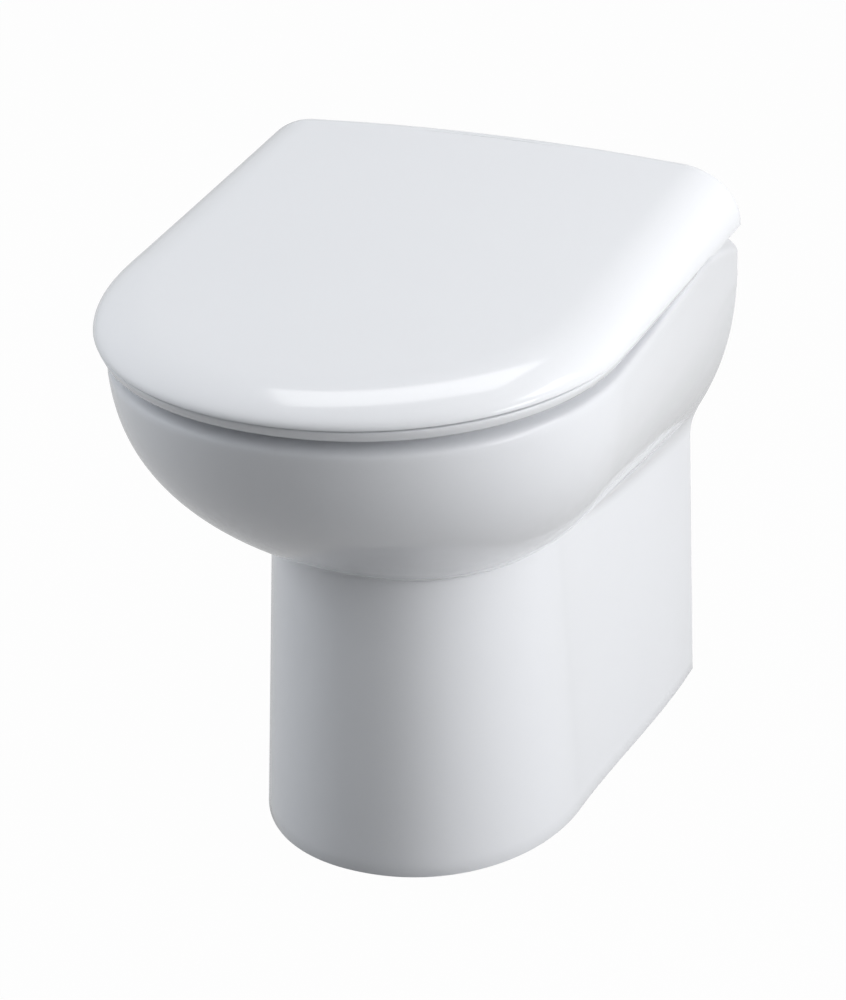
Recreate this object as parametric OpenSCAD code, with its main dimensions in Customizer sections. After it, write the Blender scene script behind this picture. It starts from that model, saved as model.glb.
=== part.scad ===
// Back to wall toilet: vitreous china pan with a soft-closing seat and lid.
// Origin on the floor under the middle of the toilet. The wall is at +Y and the front at -Y.

/* [Pan] */
// Distance from the wall to the front of the lid
projection = 488; // [470:1:520]
// Height of the rim above the floor
rim_h = 400; // [385:1:425]
// Half width of the rim where the bowl is widest
rim_half_w = 178; // [170:1:182]
// Half width of the pan against the wall
wall_half_w = 161; // [150:1:166]
// How far the rim stays behind the front of the lid
rim_setback = 10; // [7:1:20]
// Thickness of the china
china = 12; // [9:0.5:14]
// Radius on the outer edge of the rim
rim_round = 13; // [9:1:16]
// How far the deck falls towards its outer rear corners
shoulder_drop = 34; // [10:1:38]

/* [Foot] */
// Half width of the foot against the wall
foot_half_w = 126; // [116:1:132]
// Half width of the foot where its front curve starts
foot_front_half_w = 117.5; // [108:0.5:124]
// Distance from the lid front back to the foot front
foot_setback = 129; // [115:1:150]
// How far the foot leans back up to the crease
foot_lean = 16; // [0:1:20]
// How far the side of the foot bows out between the wall and its front curve
foot_bow = 3.2; // [0:0.2:5]
// Height of the crease between bowl and foot at the front
crease_h = 231; // [215:1:245]
// Height of the crease at the wall
crease_wall_h = 217; // [205:1:228]

/* [Bowl inside] */
// Half width of the bowl opening
mouth_half_w = 126; // [115:1:132]
// Front of the bowl opening, measured from the lid front
mouth_front = 54; // [48:1:70]
// Rear of the bowl opening, measured from the wall
mouth_rear = 164; // [150:1:180]
// Height of the trap entry above the floor, on its centre line
trap_entry_h = 130; // [124:1:136]
// Height of the top of the trap bend, on its centre line
trap_crest_h = 258; // [252:1:262]
// Radius of the trapway passage
trap_r = 38; // [34:0.5:39]
// Height of the outlet above the floor, on its centre line
outlet_h = 185; // [180:1:190]
// Outer diameter of the outlet spigot
outlet_d = 102; // [98:1:106]
// How far the outlet stops short of the wall
outlet_gap = 6; // [3:1:12]
// Height of the flush inlet above the floor, on its centre line
inlet_h = 344; // [342:1:348]
// Inner diameter of the flush inlet horn
inlet_d = 52; // [46:1:54]
// Outer diameter of the flush pipe that the rubber cone takes
flush_pipe_d = 38; // [32:1:40]

/* [Seat and lid] */
// Half width of the lid at its lower edge
lid_half_w = 187; // [183:1:190]
// Distance from the wall to the rear edge of the lid
lid_rear_gap = 72; // [66:1:76]
// Height of the lid at its rear edge, from its lower edge to the middle of its top
lid_h = 43.2; // [41:0.2:46]
// How far the lid top falls from rear to front
lid_fall = 18; // [8:1:20]
// Radius of the lid's rounded shoulder
lid_round = 50; // [40:1:54]
// Crown across the lid
lid_crown = 8; // [4:0.5:9]
// Wall thickness of the lid
lid_wall = 5; // [4:0.5:6]
// Gap between rim and seat, filled by the buffers
seat_gap = 4; // [3:0.5:6]
// Height of the seat edge that shows under the lid
seat_edge = 9.4; // [7:0.2:11]
// Full thickness of the seat ring
seat_t = 20; // [17:0.5:22]
// How far the seat edge stays inside the lid edge
seat_inset = 2.7; // [2:0.1:6]
// Half width of the seat opening
seat_hole_half_w = 112; // [100:1:118]

/* [Hinge] */
// Distance between the two hinge posts
hinge_centres = 155; // [140:1:165]
// Height of the hinge axis above the rim
hinge_h = 32; // [30:0.5:34]
// Distance from the wall to the hinge axis
hinge_wall_gap = 52; // [48:1:54]
// Diameter of the hinge pin
pin_d = 8; // [6:0.5:9]
// Radius of the hinge knuckles
knuckle_r = 10; // [9:0.5:10.5]
// Length of a post's knuckle
post_knuckle = 18; // [14:1:20]
// Length of a seat or lid knuckle
lug_knuckle = 14; // [10:1:16]
// Diameter of the stud through the deck
stud_d = 8; // [6:0.5:10]

/* [Fixings] */
// Distance between the two floor screws
floor_centres = 176; // [166:1:182]
// Distance from the wall to the floor screws
floor_wall_gap = 60; // [50:1:80]
// Diameter of the floor screws
floor_screw_d = 7; // [5:0.5:8]

/* [Hidden] */
$fn = 48;

// Clearances
seat_clear = 0.3;   // at rest, between parts that meet without being fixed together
run_clear = 0.05;   // pin in a knuckle, on the radius
side_clear = 0.8;   // between neighbouring knuckles
lid_clear = 2;      // between the seat's upper part and the inside of the lid
cut = 1;            // how far a cutter reaches past the face it cuts

// Places along Y
y_wall = projection / 2;
y_front = -projection / 2;
rim_front = y_front + rim_setback;
foot_front = y_front + foot_setback;
lid_rear = y_wall - lid_rear_gap;
hinge_y = y_wall - hinge_wall_gap;
hinge_z = rim_h + hinge_h;
mouth_y0 = y_front + mouth_front;
mouth_y1 = y_wall - mouth_rear;
floor_y = y_wall - floor_wall_gap;

// Plan curves
side_steps = 6;      // points along a straight side
arc_steps = 12;      // points along half of the front curve
plan_power = 2.1;    // 2 is a true ellipse
side_power = 1.5;    // 1 is a straight side
rim_curve_y = y_front + 0.395 * projection;    // where the rim's front curve starts
foot_curve_y = y_front + 0.541 * projection;   // where the foot's front curve starts
bulge_power = 2.45;  // how softly the bowl swells from the crease
rise_power = 1.3;    // how late the crease rises on its way to the front; 1 is a straight rise

// Bowl heights
seam_h = rim_h - 1.25 * china; // underside of the rim slab
skirt_h = seam_h - seat_clear;  // top of the skirt
swell_h = rim_h + 0.077 * (rim_h - crease_h);                       // where the front would be fullest
wall_swell_h = crease_wall_h + 0.755 * (rim_h - crease_wall_h);     // where the side is fullest at the wall

// Half plan from the wall round to the front centre: [x, y] points. The side runs smoothly into the curve
function half_plan(hb, hc, yb, yc, yf, bow = 0) = concat(
  [for (i = [0:side_steps - 1]) let (s = i / side_steps)
    [hc + (hb - hc) * pow(1 - s, side_power) + 6.75 * bow * s * pow(1 - s, 2), yb + (yc - yb) * s]],
  [for (i = [0:arc_steps]) let (t = 90 * i / arc_steps)
    [i == arc_steps ? 0 : hc * pow(cos(t), 2 / plan_power), yc - (yc - yf) * pow(sin(t), 2 / plan_power)]]);

// Half plan of a closed oval, from near its rear centre to its front centre
oval_rear = 72; // start angle of the rear curve in degrees
function half_oval(hw, yr, yc, yf) = concat(
  [for (i = [0:side_steps - 1]) let (t = oval_rear * (1 - i / side_steps))
    [hw * cos(t), yc + (yr - yc) * sin(t)]],
  [for (i = [0:arc_steps]) let (t = 90 * i / arc_steps)
    [i == arc_steps ? 0 : hw * pow(cos(t), 2 / plan_power), yc - (yc - yf) * pow(sin(t), 2 / plan_power)]]);

function mirrored(h) = concat(h, [for (i = [len(h) - 2:-1:0])
  [for (k = [0:len(h[i]) - 1]) k == 0 ? -h[i][0] : h[i][k]]]);
function at_height(ring, z) = [for (p = ring) [p[0], p[1], z]];

// Closed body through a stack of rings that are mirror images about X = 0
module loft(rings) {
  n = len(rings[0]);
  m = (n - 1) / 2;
  k = len(rings) - 1;
  points = [for (r = rings) for (p = r) p];
  sides = [for (j = [0:k - 1]) for (i = [0:n - 1]) let (a = j * n + i, b = j * n + (i + 1) % n)
    for (f = i < m ? [[a, b, b + n], [a, b + n, a + n]] : [[a, b, a + n], [b, b + n, a + n]]) f];
  strip = [for (i = [0:m - 1]) each i < m - 1
    ? [[i, i + 1, n - 2 - i], [i, n - 2 - i, n - 1 - i]]
    : [[i, i + 1, i + 2]]];
  top = [for (f = strip) [for (v = f) v + k * n]];
  bottom = [for (f = strip) [f[2], f[1], f[0]]];
  polyhedron(points, concat(sides, top, bottom));
}

// Swell of the bowl from the crease (0) to its fullest (1); negative below the crease
function swell(z, z0, z1) = 1 - pow(1 - min(1, (z - z0) / (z1 - z0)), bulge_power);

// The deck falls away towards its outer corners near the wall
drop_x = 0.65 * wall_half_w;
drop_y = y_wall - 0.275 * projection;
drop_z = rim_h - 0.175 * rim_h;
function drop(x, y, z) = shoulder_drop
  * pow(max(0, (abs(x) - drop_x) / (wall_half_w - drop_x)), 1.5)
  * pow(max(0, min(1, (y - drop_y) / (y_wall - drop_y))), 2)
  * max(0, min(1, (z - drop_z) / (rim_h - drop_z)));
function dropped(ring) = [for (p = ring) [p[0], p[1], p[2] - drop(p[0], p[1], p[2])]];

// Plan at the crease, and the height of the crease and of the fullest swell at each of its points
foot_top_half_w = foot_half_w - 2;
foot_top_front_half_w = foot_front_half_w - 12.5;
foot_top_front = foot_front + foot_lean;
function crease_plan(inset) = half_plan(foot_top_half_w - inset, foot_top_front_half_w - inset,
  y_wall, foot_curve_y, foot_top_front + inset, foot_bow);
function full_plan(inset) = half_plan(wall_half_w - inset, rim_half_w - inset,
  y_wall, rim_curve_y, rim_front + inset);
function to_front(wall_value, front_value) = [for (p = crease_plan(0))
  wall_value + (front_value - wall_value) * pow((y_wall - p[1]) / (y_wall - foot_top_front), rise_power)];
crease_z = to_front(crease_wall_h, crease_h);
full_z = to_front(wall_swell_h, swell_h);

// Ring of the swelling bowl side through the given heights, moved in by inset and raised by lift
function bowl_side(heights, inset, lift = 0) = let (a = crease_plan(inset), b = full_plan(inset))
  dropped(mirrored([for (i = [0:len(a) - 1])
    let (g = swell(heights[i], crease_z[i], full_z[i]))
    [a[i][0] + (b[i][0] - a[i][0]) * g, a[i][1] + (b[i][1] - a[i][1]) * g, heights[i] + lift]]));
function level(z) = [for (c = crease_z) z];
function share(t) = [for (c = crease_z) c + (skirt_h - c) * t];

// Ring of the foot: s is 0 on the floor and 1 at the crease
function foot_ring(s, inset, lift = 0) = let (b = crease_plan(inset), a = half_plan(
    foot_half_w - inset, foot_front_half_w - inset, y_wall, foot_curve_y, foot_front + inset, foot_bow))
  mirrored([for (i = [0:len(a) - 1])
    [a[i][0] + (b[i][0] - a[i][0]) * s, a[i][1] + (b[i][1] - a[i][1]) * s, (crease_z[i] + lift) * s]]);

function behind(ring) = [for (p = ring) p[1] >= y_wall - 0.01 ? [p[0], y_wall + cut, p[2]] : p];
function below(ring) = [for (p = ring) [p[0], p[1], -cut]];

bowl_shares = [for (i = [1:11]) i / 11];
crease_lift = 7;  // the inside of the crease is higher, which keeps the sloping wall thick

// Outer skin: foot and swelling bowl side in one shell, open at the back and below
module skirt() {
  color("white") resize([0, 0, 0]) difference() {
    loft(concat(
      [foot_ring(0, 0), foot_ring(0.5, 0), foot_ring(1, 0)],
      [for (t = bowl_shares) bowl_side(share(t), 0)],
      [bowl_side(level(skirt_h), china + 2)]));
    loft(concat(
      [below(behind(foot_ring(0, china)))],
      [for (s = [0, 0.5, 1]) behind(foot_ring(s, china, crease_lift))],
      [for (t = bowl_shares) behind(bowl_side(share(t), china, crease_lift * (1 - t)))],
      [behind(bowl_side(level(seam_h), china, china))]));
  }
}

// Levels of the bowl cavity: [height, half width, rear, curve start, front]
mouth_mid = mouth_y0 + 0.489 * (mouth_y1 - mouth_y0);
sump_rear = y_front + 0.4385 * projection;
cavity = [
  [trap_entry_h - trap_r - 4, 34, sump_rear - 4, sump_rear - 22, sump_rear - 40],
  [trap_entry_h - trap_r + 6, 41, sump_rear, sump_rear - 24, sump_rear - 47],
  [trap_entry_h, 44, sump_rear + 1, sump_rear - 24, sump_rear - 50],
  [trap_entry_h + trap_r + 4, 47, sump_rear + 2, sump_rear - 24, sump_rear - 49],
  [crease_h - 14, 50, sump_rear + 8, sump_rear - 22, sump_rear - 43],
  [crease_h + 8, 51, sump_rear + 12, sump_rear - 22, sump_rear - 41],
  [crease_h + 24, 68, sump_rear + 18, sump_rear - 24, sump_rear - 63],
  [crease_h + 54, 90, sump_rear + 40, mouth_mid - 8, sump_rear - 104],
  [crease_h + 79, 110, sump_rear + 68, mouth_mid - 4, mouth_y0 + 28],
  [rim_h - 70, 124, mouth_y1 - 12, mouth_mid, mouth_y0 + 6],
  [rim_h - 48, mouth_half_w + 7, mouth_y1 + 4, mouth_mid, mouth_y0 - 6]];
lip_h = rim_h - 44; // underside of the inner lip
bowl_wall = china - 2;

function cavity_rings(grow) = [for (i = [0:len(cavity) - 1]) let (c = cavity[i])
  at_height(mirrored(half_oval(c[1] + grow, c[2] + grow, c[3], c[4] - grow)), c[0] - (i == 0 ? grow : 0))];
function mouth_ring(z, grow) =
  at_height(mirrored(half_oval(mouth_half_w + grow, mouth_y1 + grow, mouth_mid, mouth_y0 - grow)), z);
function last(list) = list[len(list) - 1];

// Rounded rim edge: [inset, rise] as shares of rim_round
rim_steps = [[0, 0], [0.04, 0.28], [0.16, 0.54], [0.36, 0.77], [0.65, 0.94], [1, 1]];
deck_insets = [30, 46, 62];

// Trapway
trap_wall = 9;
trap_outer_r = trap_r + trap_wall;
trap_bend = trap_outer_r + 1;
trap_y = sump_rear + 18;
trap_stub = 60;
rise_angle = 70;
climb = trap_bend * (1 - cos(rise_angle));
rise_len = (trap_crest_h - trap_entry_h - 2 * climb) / sin(rise_angle);
fall_angle = acos(1 - (trap_crest_h - outlet_h) / (2 * trap_bend));
rise_y = trap_y + trap_bend * sin(rise_angle);
rise_z = trap_entry_h + climb;
crest_y0 = rise_y + rise_len * cos(rise_angle);
crest_z0 = rise_z + rise_len * sin(rise_angle);
crest_y = crest_y0 + trap_bend * sin(rise_angle);
fall_y = crest_y + trap_bend * sin(fall_angle);
fall_z = trap_crest_h - trap_bend * (1 - cos(fall_angle));
spigot_y0 = fall_y + trap_bend * sin(fall_angle);
spigot_y1 = y_wall - outlet_gap;

// Flush inlet
horn_wall = 7;
horn_y0 = mouth_y1 + 22;
horn_y1 = y_wall - 34;
deck_hole_r = stud_d / 2 + 3.5;

module tube_along_y(y0, y1, z, r) {
  translate([0, y0, z]) rotate([-90, 0, 0]) cylinder(r = r, h = y1 - y0);
}

// Rim, deck, basin and the first part of the trap and of the inlet
module bowl() {
  color("white") difference() {
    resize([0, 0, 0]) difference() {
      union() {
        loft(concat(
          [for (i = [len(deck_insets) - 1:-1:0]) bowl_side(level(seam_h), deck_insets[i])],
          [bowl_side(level(seam_h), china + 2), bowl_side(level(seam_h), 0)],
          [for (s = rim_steps) bowl_side(level(rim_h - rim_round * (1 - s[1])), rim_round * s[0])],
          [for (inset = deck_insets) bowl_side(level(rim_h), inset)]));
        loft(concat(cavity_rings(bowl_wall),
          [at_height(last(cavity_rings(bowl_wall)), seam_h + cut)]));
        tube_along_y(trap_y - trap_stub, trap_y, trap_entry_h, trap_outer_r);
        tube_along_y(mouth_y1 - 20, horn_y0, inlet_h, inlet_d / 2 + horn_wall);
      }
      loft(concat(cavity_rings(0), [at_height(last(cavity_rings(0)), lip_h)]));
      loft([mouth_ring(lip_h - cut, 0), mouth_ring(rim_h - 4, 0), mouth_ring(rim_h - 1, 1.2),
        mouth_ring(rim_h + cut, 5)]);
      tube_along_y(trap_y - trap_stub, trap_y + cut, trap_entry_h, trap_r);
      tube_along_y(mouth_y1 - 30, horn_y0 + cut, inlet_h, inlet_d / 2);
    }
    for (side = [-1, 1]) translate([side * hinge_centres / 2, hinge_y, seam_h - cut])
      cylinder(r = deck_hole_r, h = rim_h - seam_h + 2 * cut);
  }
}

// Stations along a bend in the YZ plane: [y, z, heading above +Y]
bend_step = 12.5;
function bend(y, z, a, turn) = let (way = turn > 0 ? 1 : -1, steps = ceil(abs(turn) / bend_step))
  [for (i = [0:steps]) let (t = a + turn * i / steps)
    [y + way * trap_bend * (sin(t) - sin(a)), z - way * trap_bend * (cos(t) - cos(a)), t]];

// The passage in four pieces: a bend and a straight climb, the two halves of the crest, a last bend
entry_path = concat(bend(trap_y, trap_entry_h, 0, rise_angle), [[crest_y0, crest_z0, rise_angle]]);
climb_path = bend(crest_y0, crest_z0, rise_angle, -rise_angle);
fall_path = bend(crest_y, trap_crest_h, 0, -fall_angle);
outlet_path = bend(fall_y, fall_z, -fall_angle, fall_angle);

// Round tube through the stations
module passage(path) {
  sides = 24;
  n = len(path);
  inner = n * sides;
  points = [for (r = [trap_outer_r, trap_r]) for (s = path) for (i = [0:sides - 1])
    let (t = 360 * i / sides)
    [r * cos(t), s[0] - r * sin(t) * sin(s[2]), s[1] + r * sin(t) * cos(s[2])]];
  skins = [for (j = [0:n - 2]) for (i = [0:sides - 1])
    let (a = j * sides + i, b = j * sides + (i + 1) % sides)
    for (f = [[a, b, b + sides], [a, b + sides, a + sides],
      [inner + b + sides, inner + b, inner + a], [inner + a + sides, inner + b + sides, inner + a]]) f];
  ends = [for (i = [0:sides - 1]) let (a = i, b = (i + 1) % sides, z = inner - sides)
    for (f = [[b, a, inner + a], [b, inner + a, inner + b],
      [z + a, z + b, z + inner + b], [z + a, z + inner + b, z + inner + a]]) f];
  color("white") resize([0, 0, 0]) polyhedron(points, concat(skins, ends));
}

// Bent passage from the sump over the weir and down to the outlet
module trap_entry_bend() {
  passage(entry_path);
}
module trap_climb() {
  passage(climb_path);
}
module trap_fall() {
  passage(fall_path);
}
module trap_outlet_bend() {
  passage(outlet_path);
}

module ring_along_y(y0, y1, z, ro, ri) {
  translate([0, y0, z]) rotate([-90, 0, 0]) difference() {
    cylinder(r = ro, h = y1 - y0);
    translate([0, 0, -cut]) cylinder(r = ri, h = y1 - y0 + 2 * cut);
  }
}

// Straight end of the passage that the pan connector takes
module outlet_spigot() {
  color("white") ring_along_y(spigot_y0, spigot_y1, outlet_h, outlet_d / 2, trap_r);
}

// China horn that the flush pipe plugs into
module inlet_horn() {
  color("white") ring_along_y(horn_y0, horn_y1, inlet_h, inlet_d / 2 + horn_wall, inlet_d / 2);
}

// Rubber cone in the mouth of the horn
cone_grip = 24;
cone_lip = 6;
module flush_cone() {
  color("dimgray") translate([0, horn_y1, inlet_h]) rotate([-90, 0, 0]) rotate_extrude() polygon([
    [flush_pipe_d / 2, -cone_grip], [inlet_d / 2 - 3, -cone_grip], [inlet_d / 2 - run_clear, -cone_grip + 5],
    [inlet_d / 2 - run_clear, 0], [inlet_d / 2 + horn_wall - 1, 0], [inlet_d / 2 + horn_wall - 1, 2],
    [inlet_d / 2 + 2, cone_lip], [flush_pipe_d / 2, cone_lip]]);
}

// Floor fixings inside the foot
lug_h = 16;
lug_len = 46;
lug_in = 17;        // how far the lug reaches past its screw towards the middle
sleeve_r = floor_screw_d / 2 + 2.4;
sleeve_flange = 2;
washer_t = 1.6;
head_h = 5;
module at_floor_screws() {
  for (side = [-1, 1]) translate([side * floor_centres / 2, floor_y, 0]) children();
}

module foot_lugs() {
  color("white") difference() {
    resize([0, 0, 0]) intersection() {
      loft([foot_ring(0, china + run_clear), foot_ring(0.5, china + run_clear, crease_lift)]);
      for (side = [-1, 1]) translate([side * (floor_centres / 2 - lug_in + 40), floor_y, lug_h / 2])
        cube([80, lug_len, lug_h], center = true);
    }
    at_floor_screws() translate([0, 0, -cut]) cylinder(r = sleeve_r + run_clear, h = lug_h + 2 * cut);
  }
}

module floor_sleeves() {
  color("whitesmoke") at_floor_screws() difference() {
    union() {
      translate([0, 0, 1]) cylinder(r = sleeve_r, h = lug_h - 1);
      translate([0, 0, lug_h]) cylinder(r = sleeve_r + 3.5, h = sleeve_flange);
    }
    cylinder(r = floor_screw_d / 2 + 0.2, h = lug_h + sleeve_flange + cut);
  }
}

module floor_washers() {
  color("silver") at_floor_screws() translate([0, 0, lug_h + sleeve_flange]) difference() {
    cylinder(r = sleeve_r + 4.5, h = washer_t);
    translate([0, 0, -cut]) cylinder(r = floor_screw_d / 2 + 0.2, h = washer_t + 2 * cut);
  }
}

module floor_screws() {
  color("silver") at_floor_screws() {
    translate([0, 0, 0.6]) cylinder(d = floor_screw_d, h = lug_h + sleeve_flange + washer_t - 0.6);
    translate([0, 0, lug_h + sleeve_flange + washer_t])
      cylinder(r = floor_screw_d * 0.87, h = head_h, $fn = 6);
  }
}

// Seat
seat_z0 = rim_h + seat_gap;
seat_z1 = seat_z0 + seat_edge;
seat_z2 = seat_z0 + seat_t;
seat_half_w = lid_half_w - seat_inset;
seat_front = y_front + seat_inset + 1;
seat_rear = y_wall - 144;
bridge_rear = hinge_y - 31;
bridge_half_w = hinge_centres / 2 + 40;
lid_curve_y = y_front + 0.381 * projection;
seat_hole_y0 = y_front + 66;
seat_hole_y1 = y_wall - 182;
shelf = lid_wall + lid_clear + 2.5;  // width of the ledge under the lid edge

// [height, inset] from the bottom edge up to the flat top
seat_steps = [[seat_z0, 3], [seat_z0 + 1.2, 1], [seat_z0 + 3.4, 0], [seat_z1, 0], [seat_z1, shelf],
  [seat_z2 - 7, shelf + 1.5], [seat_z2 - 3.5, shelf + 4.5], [seat_z2 - 1, shelf + 10], [seat_z2, shelf + 18]];
// [height, outset] of the opening from the bottom up
seat_hole_steps = [[seat_z0 - cut, 2], [seat_z0 + 2, 0], [seat_z2 - 5, 0], [seat_z2 - 1.8, 2.4],
  [seat_z2 - 0.3, 6], [seat_z2 + cut, 12]];

function seat_outline(z, inset) = at_height(mirrored(half_plan(
  seat_half_w - inset, seat_half_w - inset, seat_rear, lid_curve_y, seat_front + inset)), z);
function seat_opening(z, outset) = at_height(mirrored(half_oval(
  seat_hole_half_w + outset, seat_hole_y1 + outset, mouth_mid, seat_hole_y0 - outset)), z);

module seat_ring() {
  color("white") difference() {
    union() {
      resize([0, 0, 0]) difference() {
        union() {
          loft([for (s = seat_steps) seat_outline(s[0], s[1])]);
          loft([for (s = [[seat_z0, 1.5], [seat_z0 + 2, 0], [seat_z2 - 5, 0], [seat_z2 - 2, 1.5]])
            [for (p = [[1, 1], [1, -1], [0, -1], [-1, -1], [-1, 1]])
              [p[0] * (bridge_half_w - s[1]), p[1] > 0 ? bridge_rear - s[1] : seat_rear - 20, s[0]]]]);
        }
        loft([for (s = seat_hole_steps) seat_opening(s[0], s[1])]);
      }
      for (side = [-1, 1]) hull() {
        lug_barrel(side * seat_lug_x);
        translate([side * seat_lug_x, bridge_rear - 14, seat_z0 + 8])
          cube([lug_knuckle, 20, 12], center = true);
      }
    }
    for (side = [-1, 1]) pin_bore(side * seat_lug_x, lug_knuckle);
  }
}

// Pads: [x, y] of the right-hand one of each pair
seat_pad_front = [0.6 * lid_half_w, y_front + 0.193 * projection];
seat_pad_rear = [0.765 * lid_half_w, y_wall - 0.3975 * projection];
lid_pad_front = [0.52 * lid_half_w, y_front + 0.1825 * projection];
lid_pad_rear = [0.684 * lid_half_w, y_wall - 0.418 * projection];
pad_r = 8;
lid_pad_t = 4;
module pads(place, z, t) {
  for (side = [-1, 1]) translate([side * place[0], place[1], z]) rotate_extrude()
    polygon([[0, 0], [pad_r - 1, 0], [pad_r, 1], [pad_r, t], [0, t]]);
}
module seat_buffers_front() {
  color("gainsboro") pads(seat_pad_front, rim_h + seat_clear, seat_gap - seat_clear);
}
module seat_buffers_rear() {
  color("gainsboro") pads(seat_pad_rear, rim_h + seat_clear, seat_gap - seat_clear);
}
module lid_buffers() {
  color("gainsboro") for (place = [lid_pad_front, lid_pad_rear]) pads(place, seat_z2 + seat_clear, lid_pad_t);
}

// Hinge: post in the middle, seat knuckle inside it, lid knuckle outside it
post_x = hinge_centres / 2;
seat_lug_x = post_x - post_knuckle / 2 - side_clear - lug_knuckle / 2;
lid_lug_x = post_x + post_knuckle / 2 + side_clear + lug_knuckle / 2;
damper_len = 24;
damper_x = seat_lug_x - lug_knuckle / 2 - damper_len / 2;
rosette_r = 20;
rosette_h = 3.5;
stem_r = 7;
stud_low = seam_h - 36;
stud_high = rim_h + rosette_h + 7;

module lug_barrel(x) {
  translate([x, hinge_y, hinge_z]) rotate([0, 90, 0])
    cylinder(r = knuckle_r, h = lug_knuckle, center = true, $fn = 32);
}

module pin_bore(x, length) {
  translate([x, hinge_y, hinge_z]) rotate([0, 90, 0])
    cylinder(r = pin_d / 2 + run_clear, h = length + 2 * cut, center = true);
}

// Lid
lid_z0 = seat_z1 + 0.4;
tail_drop = 2;      // how much lower the lid side hangs behind the seat
tail_y = seat_rear + 6;
function lid_top(y) = lid_z0 + lid_h - lid_fall * (lid_rear - y) / (lid_rear - y_front);
lid_angles = [0, 14, 28, 42, 56, 72, 90];
lid_insets = [for (s = [0.42, 0.62, 0.86]) lid_half_w * s];
boss_z0 = seat_z2 + seat_clear + lid_pad_t;   // lower end of the bosses that carry the lid's pads
lid_notch_h = hinge_z + knuckle_r - lid_z0 + lid_clear;
lid_arm_lift = 7;   // the lid's arms pass over the seat's rear bridge
// Ring of the lid, moved in by wall; up is how far round the shoulder, in is how far in from the edge
function lid_ring(wall, up, in) = let (w = lid_half_w - wall) [for (p = mirrored(half_plan(
    w - in, w - in, lid_rear - wall, lid_curve_y, y_front + wall + in)))
  let (crest = lid_top(p[1]) - wall - lid_crown * pow(1 - in / w, 2))
    [p[0], p[1], lid_z0 + (crest - lid_z0) * up]];
function lid_rings(wall) = concat(
  [for (a = lid_angles) lid_ring(wall, sin(a), (lid_round - wall) * (1 - cos(a)))],
  [for (in = lid_insets) lid_ring(wall, 1, in)]);
module lid() {
  rings = lid_rings(0);
  hollow = lid_rings(lid_wall);
  color("white") difference() {
    union() {
      resize([0, 0, 0]) difference() {
        union() {
          loft(rings);
          for (side = [-1, 1])
            translate([side * (lid_half_w - lid_wall / 2 - 0.1), (tail_y + lid_rear) / 2, lid_z0])
              cube([lid_wall, lid_rear - tail_y, 2 * tail_drop], center = true);
        }
        loft(concat([at_height(hollow[0], lid_z0 - tail_drop - cut)], hollow));
        for (side = [-1, 1]) translate([side * seat_lug_x, lid_rear, lid_z0])
          cube([lug_knuckle + 2 * lid_clear, 4 * lid_wall, 2 * lid_notch_h], center = true);
      }
      for (side = [-1, 1]) hull() {
        lug_barrel(side * lid_lug_x);
        translate([side * lid_lug_x, lid_rear - 10, hinge_z + lid_arm_lift])
          cube([lug_knuckle, 18, 22], center = true);
      }
      for (side = [-1, 1]) for (place = [lid_pad_front, lid_pad_rear])
        translate([side * place[0], place[1], boss_z0])
          cylinder(r = pad_r, h = lid_top(place[1]) - lid_crown - lid_wall / 10 - boss_z0);
    }
    for (side = [-1, 1]) pin_bore(side * lid_lug_x, lug_knuckle);
  }
}

module rosette(side) {
  color("silver") translate([side * post_x, hinge_y, rim_h]) difference() {
    rotate_extrude() polygon([[0, 0], [rosette_r, 0], [rosette_r, 1], [rosette_r - 2, rosette_h],
      [0, rosette_h]]);
    translate([0, 0, -cut]) cylinder(r = stud_d / 2 + run_clear, h = rosette_h + 2 * cut);
  }
}

module hinge_post(side) {
  color("silver") translate([side * post_x, hinge_y, 0]) difference() {
    union() {
      translate([0, 0, rim_h + rosette_h]) cylinder(r = stem_r, h = hinge_h - rosette_h);
      translate([0, 0, hinge_z]) rotate([0, 90, 0]) cylinder(r = knuckle_r, h = post_knuckle, center = true);
    }
    translate([0, 0, rim_h]) cylinder(r = stud_d / 2 + run_clear, h = stud_high - rim_h + run_clear);
    translate([0, 0, hinge_z]) rotate([0, 90, 0])
      cylinder(r = pin_d / 2 + run_clear, h = post_knuckle + 2 * cut, center = true);
  }
}

pin_in = damper_x - damper_len / 2 + 1.5;
pin_out = lid_lug_x + lug_knuckle / 2 + seat_clear;
pin_head = 1.6;
module hinge_pin(side) {
  color("silver") translate([0, hinge_y, hinge_z]) rotate([0, side * 90, 0]) {
    translate([0, 0, pin_in]) cylinder(d = pin_d, h = pin_out - pin_in);
    translate([0, 0, pin_out]) cylinder(r = pin_d / 2 + 2, h = pin_head);
  }
}

// Barrel of the soft-closing damper beside the seat knuckle
module damper(side) {
  color("gainsboro") translate([side * damper_x, hinge_y, hinge_z]) rotate([0, side * 90, 0]) difference() {
    rotate_extrude() polygon([[0, -damper_len / 2], [knuckle_r - 2, -damper_len / 2],
      [knuckle_r - 0.5, 1.5 - damper_len / 2], [knuckle_r - 0.5, damper_len / 2], [0, damper_len / 2]]);
    translate([0, 0, 1.2 - damper_len / 2]) cylinder(r = pin_d / 2 + run_clear, h = damper_len + cut);
  }
}

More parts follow.
